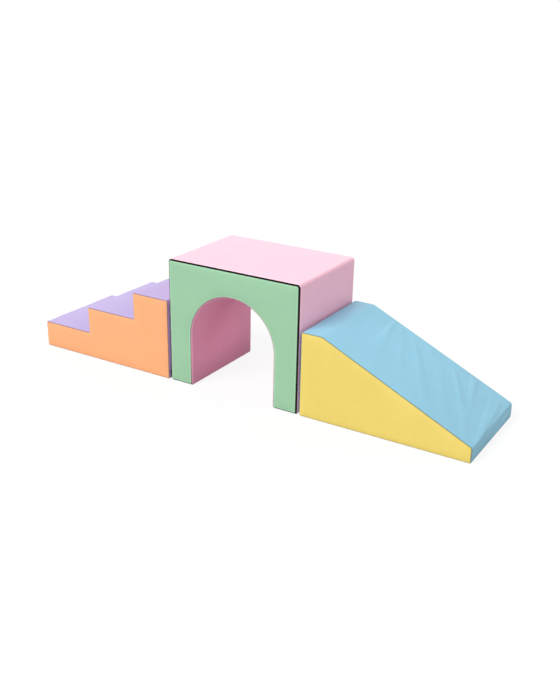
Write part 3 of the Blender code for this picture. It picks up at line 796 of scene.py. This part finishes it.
def leatherette_group():
    """Coated cloth: a pebbled grain of small cells and broad soft mottling, with painted shade in the
    seams, a painted highlight on the hem, painted shade at the floor and painted light on the top."""
    group, taken, place = new_group("leatherette_surface", ["Painted Top Light"])
    grain = {"Vector": place, "Scale": 620.0, "Smoothness": 0.6}
    cells = add_node(group, "ShaderNodeTexVoronoi", grain, feature="SMOOTH_F1").outputs["Distance"]
    broad = noise(group, place, 9.0, 4.0, 0.55)
    pebble = math_node(group, "MULTIPLY_ADD", cells, -1.0, 1.0)
    height = math_node(group, "MULTIPLY_ADD", noise(group, place, 2200.0, 3.0), 0.35, pebble)

    seam, hem, floor_shade, upward = (
        add_node(group, "ShaderNodeAttribute", attribute_name=label).outputs["Fac"]
        for label in ("seam_distance", "hem_roll", "floor_shade", "upward")
    )
    # Painted shade: the colour darkens within SEAM_SHADE of a seam
    shade = remapped(group, seam, (0.0, SEAM_SHADE), (0.5, 1.0), kind="SMOOTHSTEP")
    mottled = remapped(group, broad, (0.3, 0.7), (0.975, 1.02))
    # Painted highlight: the hem beside a zip is made lighter
    hem_highlight = math_node(group, "MULTIPLY_ADD", hem, 0.28, 1.0)
    dips = remapped(group, cells, (0.2, 0.8), (1.01, 0.96))
    # Painted shade: darker towards the floor where a panel carries it
    unshaded = math_node(group, "SUBTRACT", 1.0, floor_shade)
    for part in (mottled, hem_highlight, dips, unshaded):
        shade = math_node(group, "MULTIPLY", shade, part)
    # Painted light: faces that look up are mixed towards white, so the top looks lighter
    top_light_share = math_node(group, "MULTIPLY", upward, taken["Painted Top Light"])
    lightened_top = add_node(group, "ShaderNodeMix", {0: top_light_share, 6: taken["Colour"], 7: WHITE}, data_type="RGBA")
    roughness = math_node(group, "MULTIPLY_ADD", broad, 0.16, 0.42)
    give_out(group, lightened_top.outputs[2], shade, roughness, height)
    return group


def weave_group():
    """Woven tape: crossing threads as a product of two sine bands, with uneven yarn."""
    group, taken, place = new_group("woven_threads", ["Threads", "Roughness"])
    turned = add_node(group, "ShaderNodeMapping", {"Vector": place, "Rotation": (0.6, 0.78, 0.3)})
    split = add_node(group, "ShaderNodeSeparateXYZ", {"Vector": turned.outputs["Vector"]})
    waves = []
    for axis in range(3):
        scaled = math_node(group, "MULTIPLY", split.outputs[axis], taken["Threads"])
        waves.append(math_node(group, "SINE", scaled))
    crossing = math_node(group, "MULTIPLY_ADD", *waves)
    yarn = noise(group, place, 1800.0, 2.0)
    height = math_node(group, "ADD", crossing, yarn)
    shade = remapped(group, height, (-1.5, 2.0), (0.6, 1.5))
    roughness = math_node(group, "MULTIPLY_ADD", yarn, 0.15, taken["Roughness"])
    give_out(group, taken["Colour"], shade, roughness, height)
    return group


def scuffed_group():
    """Moulded or enamelled small parts: fine scuffs that change shade and gloss."""
    group, taken, place = new_group("scuffed_surface", ["Roughness"])
    scuffs = noise(group, place, 420.0, 5.0, 0.65)
    shade = remapped(group, scuffs, (0.35, 0.75), (0.8, 1.6))
    roughness = math_node(group, "MULTIPLY_ADD", scuffs, 0.3, taken["Roughness"])
    give_out(group, taken["Colour"], shade, roughness, scuffs)
    return group


def finish_with(slot, group, given, bump, look):
    """A material for one of the record's slots: the group's colour, roughness and height feed a
    Principled shader of its own. bump is how far the height rises, and how much of that shows."""
    material = bpy.data.materials.new(slot + FINISH)
    material.use_nodes = True
    tree = material.node_tree
    shader = tree.nodes["Principled BSDF"]
    surface = tree.nodes.new("ShaderNodeGroup")
    surface.node_tree = group
    for key, value in given.items():
        surface.inputs[key].default_value = value
    tree.links.new(surface.outputs["Colour"], shader.inputs["Base Color"])
    tree.links.new(surface.outputs["Roughness"], shader.inputs["Roughness"])
    relief = {"Height": surface.outputs["Height"], "Distance": bump[0], "Strength": bump[1]}
    tree.links.new(add_node(tree, "ShaderNodeBump", relief).outputs["Normal"], shader.inputs["Normal"])
    for key, value in look.items():
        shader.inputs[key].default_value = value
    return material


def leatherette(slot, colour, painted_top_light=0.0):
    given = {"Colour": (*colour, 1), "Painted Top Light": painted_top_light}
    return finish_with(slot, LEATHERETTE, given, (0.12 * MM, 0.35), {"Specular IOR Level": 0.25})


def woven(slot, colour, threads, roughness):
    given = {"Colour": (*colour, 1), "Threads": threads, "Roughness": roughness}
    return finish_with(slot, WEAVE, given, (0.2 * MM, 0.6), {"Specular IOR Level": 0.15})


def small_part(slot, colour, roughness, metallic):
    given = {"Colour": (*colour, 1), "Roughness": roughness}
    look = {"Metallic": metallic, "Specular IOR Level": 0.2}
    return finish_with(slot, SCUFFS, given, (0.05 * MM, 0.3), look)


LEATHERETTE = leatherette_group()
WEAVE = weave_group()
SCUFFS = scuffed_group()

MINT = leatherette("mint_vinyl", (0.33, 0.58, 0.375))
# The pink band's top is painted lighter, mixed towards white
PINK = leatherette("pink_vinyl", (0.98, 0.55, 0.69), painted_top_light=0.16)
# The lining is the pink vinyl; its deeper, more saturated colour is painted shade of light bounced inside
# the arch
SHADED_PINK = leatherette("rose_vinyl", (0.90, 0.415, 0.585))
ORANGE = leatherette("orange_vinyl", (0.98, 0.445, 0.21))
LILAC = leatherette("lilac_vinyl", (0.545, 0.445, 0.75))
YELLOW = leatherette("yellow_vinyl", (0.82, 0.64, 0.16))
BLUE = leatherette("blue_vinyl", (0.303, 0.615, 0.78))
GRIP = woven("grip_fabric", (0.05, 0.05, 0.055), 900.0, 0.78)
TAPE = woven("zip_tape", (0.006, 0.006, 0.007), 3000.0, 0.82)
PILE = woven("hook_and_loop", (0.015, 0.015, 0.017), 1300.0, 0.85)
TEETH = small_part("zip_teeth", (0.004, 0.004, 0.0045), 0.4, 0.0)
ENAMEL = small_part("zip_metal", (0.03, 0.03, 0.032), 0.2, 1.0)
FOAM = woven("foam", (0.80, 0.77, 0.66), 600.0, 0.85)

# The finish of each node of the part that keeps its own shape, by the ending of its name
CARRIED = {
    "_tape": TAPE,
    "_teeth": TEETH,
    "_stop": ENAMEL,
    "_slider": ENAMEL,
    "_pull": ENAMEL,
    "_foam_core": FOAM,
    "_strip_front": PILE,
    "_strip_rear": PILE,
}


# The set


# Panels that the photograph shows with folds: where each is cut out of place, and how its cloth bends
RUN_CUTS = [Cut(0.16, 0.08, 8 * MM, 0), Cut(0.38, 0.05, 5 * MM, 0.5), Cut(0.55, 0.05, 5 * MM, 0.6)]
RUN_LOOSE = Loose(RUN_CUTS, 2.5, 40 * MM, 1.2)
LINING_LOOSE = Loose([Cut(0.25, 0.07, 14 * MM, -0.2)], 3, 50 * MM, 3.2)

# How much painted shade darkens a panel's colour at the floor, and the height over which that dies away
RUN_FLOOR_SHADE = (0.13, 0.20)
LINING_FLOOR_SHADE = (0.20, 0.08)


def cover_tunnel():
    block = tunnel_block()
    zipped, arch = (ZIP_EDGE, PLAIN_EDGE), (BOUND_EDGE, PLAIN_EDGE)
    lining = {"seed": 14, "loose": LINING_LOOSE, "floor_shade": LINING_FLOOR_SHADE}
    face_panel(block, "tunnel_front_cover", "tunnel_front_panel", FRONT, ZIP_EDGE, MINT, seed=11)
    face_panel(block, "tunnel_rear_cover", "tunnel_rear_panel", REAR, PLAIN_EDGE, MINT, seed=12)
    wall_panel(block, "tunnel_band_cover", "tunnel_outer_band", (5, 0), zipped, PINK, seed=13)
    wall_panel(block, "tunnel_lining_cover", "tunnel_arch_lining", (1, 4), arch, SHADED_PINK, **lining)
    for leg, span, seed in (("left", (0, 1), 15), ("right", (4, 5), 16)):
        name, node = f"tunnel_{leg}_foot_cover", f"tunnel_{leg}_foot_base"
        wall_panel(block, name, node, span, zipped, GRIP, seed, swell=0)
    cover_zip(block, FRONT, (5, 0), (5, 0), MINT, PINK)


def cover_steps():
    block = steps_block()
    zipped, top = (PLAIN_EDGE, ZIP_EDGE), (PLAIN_EDGE, BOUND_EDGE)
    face_panel(block, "steps_front_cover", "steps_front_panel", FRONT, PLAIN_EDGE, ORANGE, seed=21)
    face_panel(block, "steps_rear_cover", "steps_rear_panel", REAR, ZIP_EDGE, ORANGE, seed=22)
    wall_panel(block, "steps_tread_cover", "steps_tread_strip", (2, 0), top, LILAC, seed=23)
    wall_panel(block, "steps_end_cover", "steps_end_wall", (1, 2), zipped, LILAC, seed=24)
    wall_panel(block, "steps_base_cover", "steps_base", (0, 1), zipped, ORANGE, seed=25, swell=0)
    cover_zip(block, REAR, (0, 2), (1, 2), ORANGE, LILAC)


def cover_slide():
    block = slide_block()
    zipped, top = (PLAIN_EDGE, ZIP_EDGE), (PLAIN_EDGE, BOUND_EDGE)
    run = {"seed": 33, "loose": RUN_LOOSE, "floor_shade": RUN_FLOOR_SHADE}
    face_panel(block, "slide_front_cover", "slide_front_panel", FRONT, PLAIN_EDGE, YELLOW, seed=31)
    face_panel(block, "slide_rear_cover", "slide_rear_panel", REAR, ZIP_EDGE, YELLOW, seed=32)
    wall_panel(block, "slide_run_cover", "slide_run_strip", (1, 4), top, BLUE, **run)
    wall_panel(block, "slide_end_cover", "slide_end_wall", (4, 0), zipped, BLUE, seed=34)
    wall_panel(block, "slide_base_cover", "slide_base", (0, 1), zipped, YELLOW, seed=35, swell=0)
    cover_zip(block, REAR, (4, 1), (4, 0), YELLOW, BLUE)


def finish_carried_nodes():
    """The nodes that keep their own shape get the finish of what they are made of."""
    for name, node_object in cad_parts.items():
        for ending, material in CARRIED.items():
            if name.endswith(ending):
                for place in node_object.material_slots:
                    place.material = material


# The studio. The floor's half width and how far it lies below the set; how light the floor is to
# the lamps and how much it glows to the camera; and how strongly the white surround lights.
FLOOR_SIZE, FLOOR_DROP = 150.0, 0.6 * MM
FLOOR_TONE, FLOOR_GLOW = 0.55, 0.86
SURROUND_LIGHT = 0.48

# Lamps: the direction towards each, its strength, and its width in degrees as the set sees it
LAMPS = {
    "main_lamp": ((-0.32, -0.68, 0.66), 2.35, 35),
    "right_front_lamp": ((0.80, -0.48, 0.36), 0.26, 45),
    "right_rear_lamp": ((0.60, 0.62, 0.50), 0.58, 22),
    "left_rear_lamp": ((-0.60, 0.70, 0.40), 0.26, 55),
}

# The viewpoint. The turns are in degrees, and the focal length is a share of the picture's height.
CAMERA_PLACE = (1.8515, -2.9697, 1.5583)
CAMERA_YAW, CAMERA_PITCH, CAMERA_ROLL = 30.662, 22.243, -1.234
FOCAL_LENGTH = 917.2 / 700
FILM_HEIGHT = 36
SIGHT = 400


def pale_floor():
    """A very large white floor. To the camera it glows a little, so that it is white with a soft
    shadow."""
    mesh = bpy.data.meshes.new("floor")
    sides = ((-1, -1), (1, -1), (1, 1), (-1, 1))
    corners = [(x * FLOOR_SIZE, y * FLOOR_SIZE, -FLOOR_DROP) for x, y in sides]
    mesh.from_pydata(corners, [], [(0, 1, 2, 3)])
    floor = bpy.data.objects.new("floor", mesh)
    bpy.context.scene.collection.objects.link(floor)
    material = bpy.data.materials.new("white_floor")
    material.use_nodes = True
    tree = material.node_tree
    shader = tree.nodes["Principled BSDF"]
    shader.inputs["Roughness"].default_value = 1
    shader.inputs["Specular IOR Level"].default_value = 0
    seen = tree.nodes.new("ShaderNodeLightPath").outputs["Is Camera Ray"]
    paint = remapped(tree, seen, (0.0, 1.0), (FLOOR_TONE, 1.0))
    tree.links.new(paint, shader.inputs["Base Color"])
    glow = add_node(tree, "ShaderNodeEmission", {"Color": WHITE, "Strength": 1.0})
    share = math_node(tree, "MULTIPLY", seen, FLOOR_GLOW)
    mixed = add_node(tree, "ShaderNodeMixShader", {0: share, 1: shader.outputs[0], 2: glow.outputs[0]})
    tree.links.new(mixed.outputs[0], tree.nodes["Material Output"].inputs["Surface"])
    mesh.materials.append(material)


def studio_light():
    """An even white surround that lights at a plain level and looks white, a broad main lamp from the
    upper left, and weaker lamps that reach the other sides."""
    world = bpy.data.worlds.new("studio")
    bpy.context.scene.world = world
    world.use_nodes = True
    tree = world.node_tree
    tree.nodes.clear()
    rays = tree.nodes.new("ShaderNodeLightPath").outputs
    seen = math_node(tree, "MAXIMUM", rays["Is Camera Ray"], rays["Is Glossy Ray"])
    seen = math_node(tree, "MAXIMUM", seen, rays["Is Transmission Ray"])
    strength = remapped(tree, seen, (0.0, 1.0), (SURROUND_LIGHT, 1.0))
    light = add_node(tree, "ShaderNodeBackground", {"Color": WHITE, "Strength": strength})
    add_node(tree, "ShaderNodeOutputWorld", {"Surface": light.outputs[0]})

    for name, (towards, energy, width) in LAMPS.items():
        lamp = bpy.data.lights.new(name, "SUN")
        lamp.energy = energy
        lamp.angle = math.radians(width)
        item = bpy.data.objects.new(name, lamp)
        item.rotation_euler = Vector(towards).to_track_quat("Z", "Y").to_euler()
        bpy.context.scene.collection.objects.link(item)


def photo_camera():
    """The photograph's viewpoint. A turn of yaw is to the left, of pitch down and of roll clockwise."""
    yaw, pitch, roll = (math.radians(a) for a in (CAMERA_YAW, CAMERA_PITCH, CAMERA_ROLL))
    level = math.cos(pitch)
    forward = np.array([-math.sin(yaw) * level, math.cos(yaw) * level, -math.sin(pitch)])
    right = np.array([math.cos(yaw), math.sin(yaw), 0])
    down = np.cross(forward, right)
    turned_right = math.cos(roll) * right + math.sin(roll) * down
    turned_down = -math.sin(roll) * right + math.cos(roll) * down
    camera = bpy.data.cameras.new("photo_camera")
    camera.sensor_fit = "VERTICAL"
    camera.sensor_height = FILM_HEIGHT
    camera.lens = FOCAL_LENGTH * FILM_HEIGHT
    camera.clip_end = SIGHT
    item = bpy.data.objects.new("photo_camera", camera)
    axes = Matrix(np.stack([turned_right, -turned_down, -forward], axis=1).tolist()).to_4x4()
    item.matrix_world = Matrix.Translation(CAMERA_PLACE) @ axes
    bpy.context.scene.collection.objects.link(item)
    bpy.context.scene.camera = item


bpy.context.scene.view_settings.view_transform = "Standard"
photo_camera()
studio_light()
pale_floor()
cover_tunnel()
cover_steps()
cover_slide()
finish_carried_nodes()
